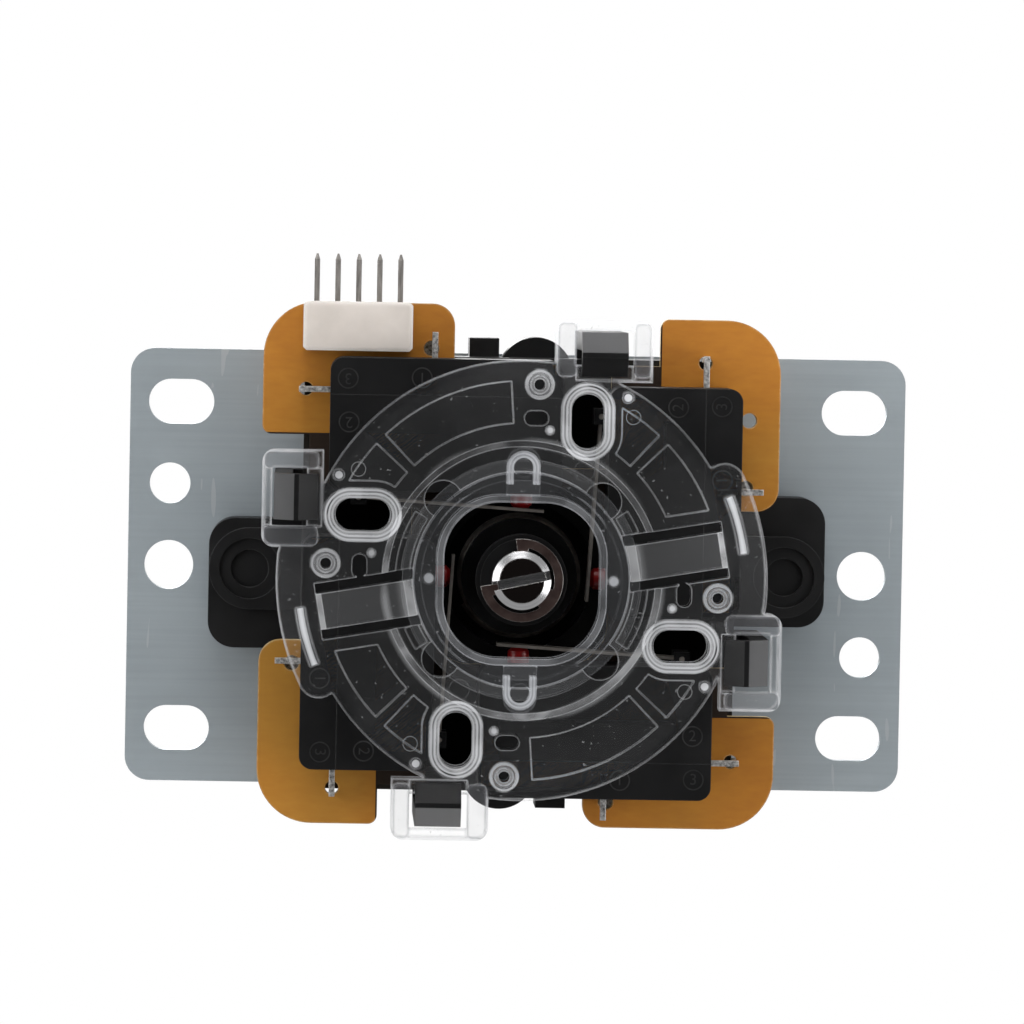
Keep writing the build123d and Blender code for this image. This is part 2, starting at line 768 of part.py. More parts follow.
# Leaf lever of the north switch: a strip with a curled end and a hinge pin
with BuildPart() as leaf_lever:
    hinge_point = (-leaf_hinge_offset, -leaf_hinge_reach)
    leaf_span = leaf_hinge_offset + leaf_tip
    leaf_slope = (leaf_hinge_reach - leaf_reach - leaf_thickness / 2) / leaf_hinge_offset
    leaf_angle = math.degrees(math.atan(leaf_slope))
    leaf_middle_reach = leaf_hinge_reach - leaf_slope * leaf_span / 2
    with BuildSketch(Plane.XY.offset(switch_middle + leaf_width / 2)):
        with Locations((leaf_tip - leaf_span / 2, -leaf_middle_reach)):
            Rectangle(leaf_span, leaf_thickness, rotation=leaf_angle)
        with Locations(hinge_point):
            Circle(leaf_curl_radius)
    extrude(amount=-leaf_width)
    with Locations((-leaf_hinge_offset, -leaf_hinge_reach, switch_middle)):
        Cylinder(hinge_pin_radius, hinge_height)

# Terminals of the north switch: pins that leave the base, with a leg up into the board
terminal_low = -terminal_depth - terminal_width / 2
terminal_high = -terminal_depth + terminal_width / 2


def legged_pin(plane, root, reach, leg_reach, leg_top):
    """Square pin along the plane's first axis, with a leg across it near its end."""
    with BuildPart() as pin:
        with BuildSketch(plane):
            with BuildLine():
                leg_outer = -leg_reach - terminal_leg_width / 2
                leg_inner = -leg_reach + terminal_leg_width / 2
                Polyline(
                    (-root, terminal_low),
                    (-reach, terminal_low),
                    (-reach, terminal_high),
                    (leg_outer, terminal_high),
                    (leg_outer, leg_top),
                    (leg_inner, leg_top),
                    (leg_inner, terminal_high),
                    (-root, terminal_high),
                    close=True,
                )
            make_face()
        extrude(amount=terminal_width / 2, both=True)
    return pin.part


with BuildPart() as side_terminal:
    add(
        legged_pin(
            Plane.YZ.offset(-side_terminal_offset),
            switch_outer_reach - terminal_root,
            side_terminal_reach,
            side_leg_reach,
            housing_bottom + terminal_tail,
        )
    )
    with BuildSketch(Plane.XZ.offset(side_leg_reach)):
        with BuildLine():
            Polyline(
                (side_hole_x, housing_bottom),
                (side_hole_x + solder_foot_radius, housing_bottom),
                (side_hole_x + solder_tip_radius, housing_bottom + solder_height),
                (side_hole_x, housing_bottom + solder_height),
                close=True,
            )
        make_face()
    revolve(axis=Axis((side_hole_x, -side_leg_reach, 0), (0, 0, 1)))
end_terminal = legged_pin(
    Plane.XZ.offset(-end_terminal_y),
    -switch_far_end - terminal_root,
    end_terminal_reach,
    end_leg_reach,
    housing_bottom - stack_gap,
)

# Each piece of a switch stands at all four stations
switch_pieces = {
    "base": switch_base.part,
    "cover": switch_cover.part,
    "plunger": plunger.part,
    "blade": snap_blade.part,
    "leaf": leaf_lever.part,
    "side_terminal": side_terminal.part,
    "end_terminal": end_terminal,
}
for station, turn in stations.items():
    for piece_name, north_piece in switch_pieces.items():
        piece = north_piece.rotate(Axis.Z, turn)
        piece.label = f"{station}_{piece_name}"
        export_step(piece, f"parts/{piece.label}.step")

# Connector body with square channels for its pins
header_top = board_bottom
header_middle = header_top - pin_rise
pin_profile_top = housing_bottom + terminal_tail
with BuildPart() as header_pins:
    with BuildSketch(Plane.YZ.offset(pin_columns[0])) as pin_profile:
        with BuildLine():
            half_pin = pin_size / 2
            Polyline(
                (pin_foot_y + half_pin, pin_profile_top),
                (pin_foot_y + half_pin, header_middle - half_pin),
                (pin_tip_length - pin_reach, header_middle - half_pin),
                (-pin_reach, header_middle - half_pin / 3),
                (-pin_reach, header_middle + half_pin / 3),
                (pin_tip_length - pin_reach, header_middle + half_pin),
                (pin_foot_y - half_pin, header_middle + half_pin),
                (pin_foot_y - half_pin, pin_profile_top),
                close=True,
            )
        make_face()
    extrude(amount=pin_size / 2, both=True)
    with BuildSketch(Plane.XY.offset(header_middle - pin_size)):
        with BuildLine():
            pin_x = pin_columns[0]
            Polyline(
                (pin_x - half_pin, pin_foot_y + half_pin),
                (pin_x - half_pin, pin_tip_length - pin_reach),
                (pin_x - half_pin / 3, -pin_reach),
                (pin_x + half_pin / 3, -pin_reach),
                (pin_x + half_pin, pin_tip_length - pin_reach),
                (pin_x + half_pin, pin_foot_y + half_pin),
                close=True,
            )
        make_face()
    extrude(amount=pin_profile_top - header_middle + pin_size, mode=Mode.INTERSECT)
    first_pin = header_pins.part
    add([first_pin.moved(Location((pin_pitch * index, 0, 0))) for index in range(1, pin_count)])
header_pins.part.label = "header_pins"
export_step(header_pins.part, "parts/header_pins.step")

with BuildPart() as header_body:
    with BuildSketch(Plane.XY.offset(header_top)) as header_outline:
        with Locations((header_center_x, header_width / 2 - header_outer_reach)):
            Rectangle(header_length, header_width)
    extrude(amount=-header_height)
    chamfer(header_body.edges().filter_by(Axis.Z), header_corner)
    add(header_pins.part, mode=Mode.SUBTRACT)
header_body.part.label = "header_body"
export_step(header_body.part, "parts/header_body.step")

# Clear gate frame: a moulded ring with grips, latch windows, oval bosses and spring tongues
with BuildPart() as gate_frame:
    with BuildSketch(Plane.XY.offset(gate_face)):
        Circle(gate_radius)
        for half_turn in (0, 180):
            add(ring_sector(gate_step_radius, grip_radius, grip_start + half_turn, grip_end + half_turn))
    extrude(amount=gate_thickness)
    grip_edges = gate_frame.edges().filter_by(Axis.Z).filter_by_position(Axis.Z, gate_face, gate_top)
    outer_edges = [
        edge for edge in grip_edges if math.hypot((edge @ 0.5).X, (edge @ 0.5).Y) > gate_radius + stack_gap
    ]
    fillet(outer_edges, grip_corner)
    with BuildSketch(Plane.XY.offset(gate_face)) as tab_outline:
        tab_center = (latch_tab_start + latch_tab_end) / 2
        tab_inner = gate_radius - grip_corner
        with Locations((tab_center, -(latch_tab_reach + tab_inner) / 2)):
            Rectangle(latch_tab_end - latch_tab_start, latch_tab_reach - tab_inner)
        fillet(tab_outline.vertices().group_by(Axis.Y)[0], latch_tab_corner)
    latch_tab = extrude(amount=gate_thickness)
    add([latch_tab.rotate(Axis.Z, turn) for turn in (90, 180, 270)])
    # Raised cheeks on both sides of each latch window
    cheek_length = latch_tab_reach - latch_cheek_margin - latch_cheek_inner
    left_cheek_width = latch_window_start - latch_tab_start - latch_cheek_margin
    right_cheek_width = latch_tab_end - latch_window_end - latch_cheek_margin
    cheek_middle = -latch_cheek_inner - cheek_length / 2
    with BuildSketch(Plane.XY.offset(gate_foot)):
        with PolarLocations(0, 4):
            with Locations((latch_window_start - left_cheek_width / 2, cheek_middle)):
                RectangleRounded(left_cheek_width, cheek_length, latch_cheek_corner)
            with Locations((latch_window_end + right_cheek_width / 2, cheek_middle)):
                RectangleRounded(right_cheek_width, cheek_length, latch_cheek_corner)
    extrude(amount=2 * gate_boss_height)
    # Windows for the latch arms, each with a thin ledge under the nose
    with BuildSketch(Plane.XY.offset(gate_foot)):
        window_width = latch_window_end - latch_window_start
        window_center = (latch_window_start + latch_window_end) / 2
        with PolarLocations(0, 4):
            with Locations((window_center, -(latch_window_outer + latch_ledge_reach) / 2)):
                Rectangle(window_width, latch_window_outer - latch_ledge_reach)
    extrude(amount=gate_thickness + gate_boss_height, mode=Mode.SUBTRACT)
    with BuildSketch(Plane.XY.offset(gate_face)):
        bar_outer = latch_tab_reach - latch_cheek_margin
        with PolarLocations(0, 4):
            with Locations((window_center, -(latch_ledge_reach + bar_outer) / 2)):
                Rectangle(window_width, bar_outer - latch_ledge_reach)
    extrude(amount=latch_bar_depth, mode=Mode.SUBTRACT)
    with BuildSketch(Plane.XY.offset(gate_foot)):
        with PolarLocations(0, 4):
            with Locations((window_center, -(latch_ledge_reach + latch_window_inner) / 2)):
                Rectangle(window_width, latch_ledge_reach - latch_window_inner)
    extrude(amount=gate_thickness + gate_boss_height - latch_ledge_thickness, mode=Mode.SUBTRACT)
    # Oval and round bosses on the face, then their holes and the small slots
    with BuildSketch(Plane.XY.offset(gate_foot)):
        with PolarLocations(0, 4):
            with Locations((oval_offset, -oval_reach)):
                SlotOverall(oval_length, oval_width, rotation=90)
            with Locations((ring_boss_offset, -ring_boss_reach)):
                Circle(ring_boss_diameter / 2)
    extrude(amount=2 * gate_boss_height)
    with BuildSketch(Plane.XY.offset(gate_foot)):
        with PolarLocations(0, 4):
            with Locations((oval_offset, -oval_reach)):
                SlotOverall(
                    oval_hole_length + 2 * oval_step_width,
                    oval_hole_width + 2 * oval_step_width,
                    rotation=90,
                )
            with Locations((ring_boss_offset, -ring_boss_reach)):
                Circle(ring_groove_outer)
                Circle(ring_groove_inner, mode=Mode.SUBTRACT)
    extrude(amount=oval_step_depth, mode=Mode.SUBTRACT)
    with BuildSketch(Plane.XY.offset(gate_foot)):
        with PolarLocations(0, 4):
            with Locations((oval_offset, -oval_reach)):
                SlotOverall(oval_hole_length, oval_hole_width, rotation=90)
            with Locations((ring_boss_offset, -ring_boss_reach)):
                Circle(ring_boss_hole / 2)
            with Locations((small_slot_offset, -small_slot_reach)):
                SlotOverall(small_slot_length, small_slot_width)
    extrude(amount=gate_thickness + gate_boss_height, mode=Mode.SUBTRACT)
    # Small pips by each oval and each small slot
    with BuildSketch(Plane.XY.offset(gate_face - pip_height)):
        with PolarLocations(0, 4):
            with Locations((corner_pip_offset, -corner_pip_reach)):
                Circle(corner_pip_radius)
            with Locations((slot_pip_offset, -slot_pip_reach)):
                Circle(slot_pip_radius)
    extrude(amount=2 * pip_height)
    # Raised grip ridges
    with BuildSketch(Plane.XY.offset(gate_foot)):
        for half_turn in (0, 180):
            add(
                ring_sector(
                    grip_ridge_radius - grip_ridge_width / 2,
                    grip_ridge_radius + grip_ridge_width / 2,
                    grip_ridge_start + half_turn,
                    grip_ridge_end + half_turn,
                )
            )
    extrude(amount=2 * gate_boss_height)
    # Shallow pads: those by a tongue stop short of it, the small ones follow their oval
    with BuildSketch(Plane.XY.offset(gate_face)):
        for turn in stations.values():
            add(ring_sector(pad_inner_radius, pad_outer_radius, big_pad_start + turn, big_pad_end + turn))
        with Locations((0, 0)):
            Rectangle(4 * gate_radius, 2 * tongue_margin, rotation=tongue_angle, mode=Mode.SUBTRACT)
        for turn in stations.values():
            add(ring_sector(pad_inner_radius, pad_outer_radius, small_pad_start + turn, small_pad_end + turn))
        with PolarLocations(0, 4):
            with Locations((oval_offset, -oval_reach)):
                SlotOverall(
                    oval_length + 2 * small_pad_margin,
                    oval_width + 2 * small_pad_margin,
                    rotation=90,
                    mode=Mode.SUBTRACT,
                )
    extrude(amount=pad_depth, mode=Mode.SUBTRACT)
    # Bore of the insert: the step on the face, the bore itself and the recess of its flange
    with BuildSketch(Plane.XY.offset(gate_face)):
        Circle(gate_step_radius)
    extrude(amount=gate_step_depth, taper=step_taper, mode=Mode.SUBTRACT)
    # Tongues with sloping ends, which stand a little proud
    with BuildSketch(Plane.XZ) as tongue_profile:
        with BuildLine():
            tongue_face = gate_face - tongue_rise
            Polyline(
                (tongue_inner + tongue_end_gap, gate_top),
                (tongue_inner + tongue_end_gap, gate_face),
                (tongue_inner + tongue_end_gap + tongue_inner_slope, tongue_face),
                (tongue_outer - tongue_outer_slope, tongue_face),
                (tongue_outer, gate_face),
                (tongue_outer, gate_top),
                close=True,
            )
        make_face()
    tongue = extrude(amount=tongue_width / 2, both=True, mode=Mode.PRIVATE)
    add([tongue.rotate(Axis.Z, tongue_angle + half_turn) for half_turn in (0, 180)])
    with BuildSketch(Plane.XY.offset(gate_face)):
        Circle(gate_bore_radius)
        with PolarLocations(notch_reach, 4, start_angle=45):
            Circle(notch_radius)
        with PolarLocations(0, 2, start_angle=tongue_angle):
            with Locations(((tongue_inner + tongue_outer) / 2, 0)):
                with GridLocations(0, tongue_width + tongue_slot_width, 1, 2):
                    Rectangle(tongue_outer - tongue_inner, tongue_slot_width)
    extrude(amount=gate_thickness, mode=Mode.SUBTRACT)
    with BuildSketch(Plane.XY.offset(gate_top)):
        Circle(gate_counterbore_radius)
    extrude(amount=-gate_counterbore_depth, mode=Mode.SUBTRACT)
    with BuildSketch(Plane.XY.offset(gate_face + gate_step_depth)):
        for half_turn in (0, 180):
            for pad_start, pad_end in ((arc_pad_start, arc_pad_end), (short_pad_start, short_pad_end)):
                add(ring_sector(arc_pad_inner, arc_pad_outer, pad_start + half_turn, pad_end + half_turn))
    extrude(amount=pad_depth, mode=Mode.SUBTRACT)
gate_frame.part.label = "gate_frame"
export_step(gate_frame.part, "parts/gate_frame.step")

# Clear insert: the rounded square wall that limits the lever, with two snap tabs
insert_top = gate_top - insert_top_gap
insert_foot = gate_foot + insert_foot_gap
hub_radius = gate_bore_radius - running_clearance
tab_top = gate_face + gate_step_depth - insert_top_gap
wall_side = insert_opening + 2 * insert_wall
with BuildPart() as gate_insert:
    with BuildSketch(Plane.XY.offset(insert_top)):
        Circle(hub_radius)
    extrude(amount=-insert_web_thickness)
    with BuildSketch(Plane.XY.offset(insert_top)):
        Circle(insert_flange_radius)
    extrude(amount=-insert_flange_thickness)
    with BuildSketch(Plane.XY.offset(insert_top)):
        Circle(hub_radius)
        Circle(hub_radius - insert_rim_wall, mode=Mode.SUBTRACT)
    extrude(amount=tab_top - insert_top)
    with BuildSketch(Plane.XY.offset(insert_top)):
        RectangleRounded(wall_side, wall_side, insert_opening_corner + insert_wall)
    extrude(amount=insert_foot - insert_top)
    with BuildSketch(Plane.XY.offset(tab_top)) as tab_sketch:
        with PolarLocations(0, 2):
            with Locations((0, (-insert_tab_reach - insert_opening / 2) / 2)):
                Rectangle(insert_tab_width, insert_tab_reach - insert_opening / 2)
        tab_rows = tab_sketch.vertices().group_by(Axis.Y)
        fillet([*tab_rows[0], *tab_rows[-1]], insert_tab_corner)
    extrude(amount=-insert_tab_thickness)
    with BuildSketch(Plane.XY.offset(insert_top - insert_web_thickness)):
        with PolarLocations(insert_pip_reach, 2):
            Circle(insert_pip_radius)
    extrude(amount=-insert_pip_height)
    with BuildSketch(Plane.XY.offset(insert_top)):
        RectangleRounded(insert_opening, insert_opening, insert_opening_corner)
    extrude(amount=insert_foot - insert_top, mode=Mode.SUBTRACT)
    with BuildSketch(Plane.XY.offset(tab_top)):
        with PolarLocations(insert_tab_hole_reach, 2, start_angle=90):
            Circle(insert_tab_hole / 2)
    extrude(amount=-insert_tab_thickness, mode=Mode.SUBTRACT)
gate_insert.part.label = "gate_insert"
export_step(gate_insert.part, "parts/gate_insert.step")
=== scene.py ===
import math
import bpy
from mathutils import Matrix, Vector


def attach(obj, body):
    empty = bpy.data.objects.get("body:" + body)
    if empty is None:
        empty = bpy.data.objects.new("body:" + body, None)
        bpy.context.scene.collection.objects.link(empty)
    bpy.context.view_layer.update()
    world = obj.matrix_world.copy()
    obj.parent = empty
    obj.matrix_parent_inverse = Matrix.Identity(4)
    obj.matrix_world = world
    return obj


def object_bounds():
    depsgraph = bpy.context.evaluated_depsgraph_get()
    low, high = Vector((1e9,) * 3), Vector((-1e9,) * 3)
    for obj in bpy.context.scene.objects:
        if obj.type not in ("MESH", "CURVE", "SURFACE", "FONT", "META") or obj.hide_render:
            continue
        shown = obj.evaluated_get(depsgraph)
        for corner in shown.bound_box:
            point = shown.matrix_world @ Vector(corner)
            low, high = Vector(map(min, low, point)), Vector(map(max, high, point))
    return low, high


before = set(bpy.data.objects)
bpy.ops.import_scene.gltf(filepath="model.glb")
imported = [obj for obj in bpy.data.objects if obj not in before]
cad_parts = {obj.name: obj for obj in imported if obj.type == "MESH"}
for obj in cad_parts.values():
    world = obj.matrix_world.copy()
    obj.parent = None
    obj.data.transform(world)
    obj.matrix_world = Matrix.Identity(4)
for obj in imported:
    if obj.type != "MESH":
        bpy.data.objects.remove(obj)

from types import SimpleNamespace

import bmesh
import bpy
from mathutils import Matrix, Vector

cad_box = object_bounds()

MM = 0.001

# The four switches, each with its turn from the north one in degrees
STATIONS = {"north": 0.0, "east": 90.0, "south": 180.0, "west": 270.0}

# Radii of the clear gate
BORE_RADIUS = 12.9 * MM
UPPER_RADIUS = 15.7 * MM
STEP_INSIDE, STEP_OUTSIDE = 15.5 * MM, 17.1 * MM
GRIP_RADIUS = 24.4 * MM
RIM_RADIUS = 25.1 * MM

# The insert's rounded square opening: the core that its corner arcs are drawn round, and the reach of its wall
OPENING_CORE = 4.6 * MM
OPENING_REACH = 5.7 * MM

# Marks of the gate in its north quarter, in millimetres
SLOT_MIDDLE, SLOT_HALF = (7.5, -19.0), 1.475
POST_MIDDLE = (1.7, -23.3)

# Pips, drawn as painted highlights: the middle, and the radii between which the pip fades
PIPS = [((12.2, -21.9), 0.35, 0.62), ((3.0, -17.9), 0.25, 0.52)]

# Ejector marks, drawn as painted highlight circles: the middle, the radius and how strongly the circle shows
EJECTOR_MARKS = [
    ((4.7, -25.0), 0.85, 0.22),
    ((7.2, -13.1), 1.2, 0.14),
    ((12.9, -19.6), 0.85, 0.4),
    ((17.8, -11.4), 2.1, 0.15),
]

# Turn of the two spring tongues from the X axis
TONGUE_TURN = math.radians(9.7)

# Circled numbers of the north switch: each digit and its middle in millimetres
NUMBERS = [("3", (-21.0, -23.6)), ("1", (-12.2, -23.8)), ("2", (-20.8, -18.4))]
DIGIT_SIZE = 1.9 * MM
CIRCLE_RADIUS = 1.08 * MM
CIRCLE_GROWTH = 1.17
HALF_DEPTH = 0.03 * MM
STANDING_PROUD = 0.01 * MM


class Wire:
    """One output of a shader node. Arithmetic on wires adds Math nodes."""

    def __init__(self, finish, socket):
        self.finish = finish
        self.socket = socket

    def maths(self, operation, *values):
        return self.finish.node("ShaderNodeMath", {"operation": operation}, dict(enumerate(values)))

    def __add__(self, other):
        return self.maths("ADD", self, other)

    __radd__ = __add__

    def __sub__(self, other):
        return self.maths("SUBTRACT", self, other)

    def __rsub__(self, other):
        return self.maths("SUBTRACT", other, self)

    def __mul__(self, other):
        return self.maths("MULTIPLY", self, other)

    __rmul__ = __mul__

    def __neg__(self):
        return self.maths("MULTIPLY", self, -1.0)

    def __abs__(self):
        return self.maths("ABSOLUTE", self)

    def __gt__(self, other):
        return self.maths("GREATER_THAN", self, other)

    def __lt__(self, other):
        return self.maths("LESS_THAN", self, other)


class Finish:
    """A material in the making, with one method that adds any node."""

    def __init__(self, owner):
        self.owner = owner
        self.tree = owner.node_tree
        self.tree.nodes.clear()
        self.rounds = {}

    def node(self, kind, settings=None, inputs=None, output=0):
        made = self.tree.nodes.new(kind)
        for name, value in (settings or {}).items():
            if name == "stops":
                set_stops(made.color_ramp, value)
            else:
                setattr(made, name, value)
        for name, value in (inputs or {}).items():
            if isinstance(value, Wire):
                self.tree.links.new(value.socket, made.inputs[name])
            else:
                made.inputs[name].default_value = value
        return Wire(self, made.outputs[output]) if len(made.outputs) else None

    def split(self, vector):
        """The three parts of a vector."""
        parts = self.node("ShaderNodeSeparateXYZ", None, {0: vector}).socket.node.outputs
        return [Wire(self, part) for part in parts]

    def place(self, stretch=None):
        """Object coordinates, which can be stretched along the axes of the part."""
        coordinates = self.node("ShaderNodeTexCoord", output=3)
        if stretch is None:
            return coordinates
        return self.node("ShaderNodeMapping", {"vector_type": "POINT"}, {0: coordinates, "Scale": stretch})

    def facing(self):
        """The three parts of the surface's normal, along the axes of the part."""
        return self.split(self.node("ShaderNodeTexCoord", output=1))

    def noise(self, place, scale, detail, roughness=0.55):
        return self.node(
            "ShaderNodeTexNoise",
            {"noise_dimensions": "3D"},
            {"Vector": place, "Scale": scale, "Detail": detail, "Roughness": roughness},
        )

    def ramp(self, value, *stops):
        return self.node("ShaderNodeValToRGB", {"stops": stops}, {"Fac": value})

    def mix(self, factor, first, second):
        return self.node("ShaderNodeMix", {"data_type": "RGBA"}, {0: factor, 6: first, 7: second}, output=2)

    def rounded(self, radius):
        """Normal of the surface with its sharp edges rounded. One node serves each radius."""
        if radius not in self.rounds:
            self.rounds[radius] = self.node("ShaderNodeBevel", {"samples": 2}, {"Radius": radius})
        return self.rounds[radius]

    def near_edge(self, radius, full):
        """Wire that rises from 0 away from the sharp edges to 1 on them, where the normal turns enough."""
        level = self.node(
            "ShaderNodeVectorMath",
            {"operation": "DOT_PRODUCT"},
            {0: self.rounded(radius), 1: self.node("ShaderNodeNewGeometry", output=3)},
            output=1,
        )
        return smooth_step(1.0 - level, 0.0, full)

    def bump(self, height, distance, strength, edge_radius=None):
        inputs = {"Height": height, "Distance": distance, "Strength": strength}
        if edge_radius:
            inputs["Normal"] = self.rounded(edge_radius)
        return self.node("ShaderNodeBump", None, inputs)

    def surface(self, **sockets):
        """Closes the material with one Principled shader and returns it."""
        names = {name.replace("_", " "): value for name, value in sockets.items()}
        shader = self.node("ShaderNodeBsdfPrincipled", None, names)
        self.node("ShaderNodeOutputMaterial", None, {"Surface": shader})
        return self.owner


def set_stops(ramp, stops):
    """Gives a colour ramp its stops, each a place and a colour."""
    while len(ramp.elements) < len(stops):
        ramp.elements.new(0.5)
    for element, (place, color) in zip(ramp.elements, stops):
        element.position = place
        element.color = color


def new_finish(name):
    material = bpy.data.materials.new(name)
    material.use_nodes = True
    return Finish(material)


def rgb(red, green, blue):
    return (red, green, blue, 1.0)


def larger(first, second):
    return first.maths("MAXIMUM", first, second)


def length_of(first, second):
    """Length of the flat vector with these two parts."""
    return first.maths("SQRT", first * first + second * second)


def smooth_step(value, low, high):
    """Wire that rises from 0 at one value to 1 at the other."""
    return value.finish.node(
        "ShaderNodeMapRange", {"interpolation_type": "SMOOTHSTEP"}, {0: value, 1: low, 2: high, 3: 0.0, 4: 1.0}
    )


def band(value, low, high, soft=0.06):
    """Wire that is 1 between two values, with soft sides."""
    return smooth_step(value, low - soft, low + soft) * (1.0 - smooth_step(value, high - soft, high + soft))


def waves(distance, pitch):
    return distance.maths("SINE", distance * (2.0 * math.pi / pitch)) * 0.5 + 0.5


def quarter_place(x, y):
    """Place folded into the north station's quarter, so that one mark is drawn four times, and its radius."""
    quarter = math.pi / 2
    turn = x.maths("ARCTAN2", x, -y) + 2.0 * math.pi + quarter / 2
    folded = turn.maths("MODULO", turn, quarter) - quarter / 2
    radius = length_of(x, y)
    return radius * folded.maths("SINE", folded), -(radius * folded.maths("COSINE", folded)), radius


def way_off(x, y, middle, half=0.0):
    """Distance to a middle point, or to a line of some half length through it, in millimetres."""
    across = x * (1.0 / MM) - middle[0]
    down = y * (1.0 / MM) - middle[1]
    if half:
        down = larger(abs(down) - half, 0.0)
    return length_of(across, down)


def past_opening(x, y):
    """Distance beyond the wall round the insert's opening."""
    return length_of(larger(abs(x) - OPENING_CORE, 0.0), larger(abs(y) - OPENING_CORE, 0.0)) - OPENING_REACH


def lowest(name):
    """Level of the lowest point of a CAD node."""
    return min(vertex.co.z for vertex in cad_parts[name].data.vertices)


def zinc_steel():
    """Zinc plated sheet: fine brushing along the plate, faint clouds and a few pale scratches."""
    f = new_finish("zinc_steel")
    place = f.place()
    brushing = f.noise(f.place((40.0, 1800.0, 40.0)), 1.0, 2.0)
    clouds = f.noise(place, 55.0, 3.0)
    scratch_field = f.noise(f.place((900.0, 120.0, 200.0)), 1.0, 1.0, 0.4)
    scratches = (scratch_field > 0.72) * (f.noise(place, 90.0, 1.0) > 0.52)
    tone = f.ramp(
        clouds * 0.6 + brushing * 0.4,
        (0.3, rgb(0.31, 0.35, 0.375)),
        (0.55, rgb(0.345, 0.388, 0.415)),
        (0.75, rgb(0.38, 0.425, 0.45)),
    )
    return f.surface(
        Base_Color=f.mix(scratches * 0.45, tone, rgb(0.5, 0.52, 0.53)),
        Metallic=0.55,
        Roughness=0.42 + brushing * 0.12,
        Normal=f.bump(brushing + clouds * 0.3, 0.02 * MM, 0.35),
    )


def black_plastic(name="black_plastic", sheen_below=None):
    """Moulded black plastic with a faint grain and a painted highlight of paler colour along its sharp edges.
    The low slopes that face outwards and down can get a paler painted sheen.
    """
    edge_radius = 0.15 * MM
    f = new_finish(name)
    place = f.place()
    grain = f.noise(place, 2600.0, 1.0)
    flow = f.noise(place, 120.0, 2.0)
    tone = f.ramp(flow, (0.3, rgb(0.006, 0.006, 0.0064)), (0.7, rgb(0.0105, 0.0105, 0.011)))
    # Painted highlight: paler colour along the sharp edges.
    tone = f.mix(f.near_edge(edge_radius, 0.2) * (0.2 + flow * 0.5), tone, rgb(0.09, 0.09, 0.092))
    if sheen_below is not None:
        x, y, z = f.split(place)
        nx, ny, nz = f.facing()
        # Painted sheen: low slopes that face outwards and down are paler, where the side lamps catch them.
        painted_sheen = (z < sheen_below) * band(nz, -0.97, -0.2, 0.02) * (x * nx + y * ny > 0.0)
        tone = f.mix(painted_sheen * (0.5 + flow * 0.4), tone, rgb(0.1, 0.1, 0.103))
    return f.surface(
        Base_Color=tone,
        Roughness=0.36 + flow * 0.2,
        Specular_IOR_Level=0.22,
        Normal=f.bump(grain, 0.015 * MM, 0.35, edge_radius),
    )


def ball_gloss():
    """Polished black ball."""
    f = new_finish("ball_gloss")
    haze = f.noise(f.place(), 300.0, 3.0)
    return f.surface(
        Base_Color=rgb(0.008, 0.008, 0.009),
        Roughness=0.07 + haze * 0.06,
        Specular_IOR_Level=0.5,
        Coat_Weight=0.3,
        Coat_Roughness=0.03,
        Normal=f.bump(haze, 0.01 * MM, 0.1),
    )


def amber_board():
    """Bare paper laminate: clouded amber faces, pale fibres along the cut edges, and painted shade under the
    gate and beside the latches.
    """
    edge_radius = 0.25 * MM
    f = new_finish("amber_board")
    place = f.place()
    clouds = f.noise(place, 45.0, 3.0)
    stain = smooth_step(f.noise(place, 28.0, 2.0), 0.4, 0.65)
    fibres = f.noise(f.place((500.0, 1500.0, 900.0)), 1.0, 2.0)
    x, y, _ = f.split(place)
    side, out, radius = quarter_place(x, y)
    # Painted shade: the board turns dark under the gate ring and beside the latches.
    shade_under_ring = 1.0 - smooth_step(radius, 18.5 * MM, 22.5 * MM)
    shade_by_latch = (side > 9.5 * MM) * (side < 16.8 * MM) * (out < -21.5 * MM)
    shaded = larger(shade_under_ring, shade_by_latch)
    amber = f.ramp(
        clouds * 0.75 + fibres * 0.25,
        (0.3, rgb(0.27, 0.095, 0.007)),
        (0.5, rgb(0.34, 0.132, 0.011)),
        (0.72, rgb(0.41, 0.18, 0.022)),
    )
    amber = f.mix(shaded, amber, rgb(0.02, 0.011, 0.006))
    amber = f.mix(stain * (1.0 - shaded) * 0.45, amber, rgb(0.25, 0.15, 0.022))
    cut = f.ramp(fibres, (0.3, rgb(0.5, 0.33, 0.12)), (0.65, rgb(0.72, 0.6, 0.38)))
    pale_edge = f.near_edge(edge_radius, 0.08) * (1.0 - shaded) * (0.4 + fibres * 0.6)
    face = (abs(f.facing()[2]) > 0.6) * (1.0 - pale_edge)
    return f.surface(
        Base_Color=f.mix(face, cut, amber),
        Roughness=0.5 + fibres * 0.2,
        Specular_IOR_Level=0.25,
        Normal=f.bump(fibres, 0.03 * MM, 0.3, edge_radius),
    )


def white_plastic():
    """Off-white nylon, with a painted highlight of paler colour along its rounded edges."""
    edge_radius = 0.8 * MM
    f = new_finish("white_plastic")
    clouds = f.noise(f.place(), 160.0, 4.0)
    tone = f.ramp(clouds, (0.3, rgb(0.4, 0.365, 0.335)), (0.7, rgb(0.5, 0.46, 0.425)))
    # Painted highlight: paler colour near the rounded edges.
    return f.surface(
        Base_Color=f.mix(f.near_edge(edge_radius, 0.16), tone, rgb(0.78, 0.76, 0.74)),
        Roughness=0.42,
        Subsurface_Weight=0.25,
        Subsurface_Radius=(1.0, 0.9, 0.8),
        Subsurface_Scale=1.0 * MM,
        Normal=f.bump(clouds, 0.03 * MM, 0.2, edge_radius),
    )


def red_plastic():
    """Red moulded plungers."""
    f = new_finish("red_plastic")
    clouds = f.noise(f.place(), 400.0, 2.0)
    tone = f.ramp(clouds, (0.3, rgb(0.3, 0.008, 0.009)), (0.7, rgb(0.42, 0.013, 0.014)))
    return f.surface(Base_Color=tone, Roughness=0.28 + clouds * 0.1)


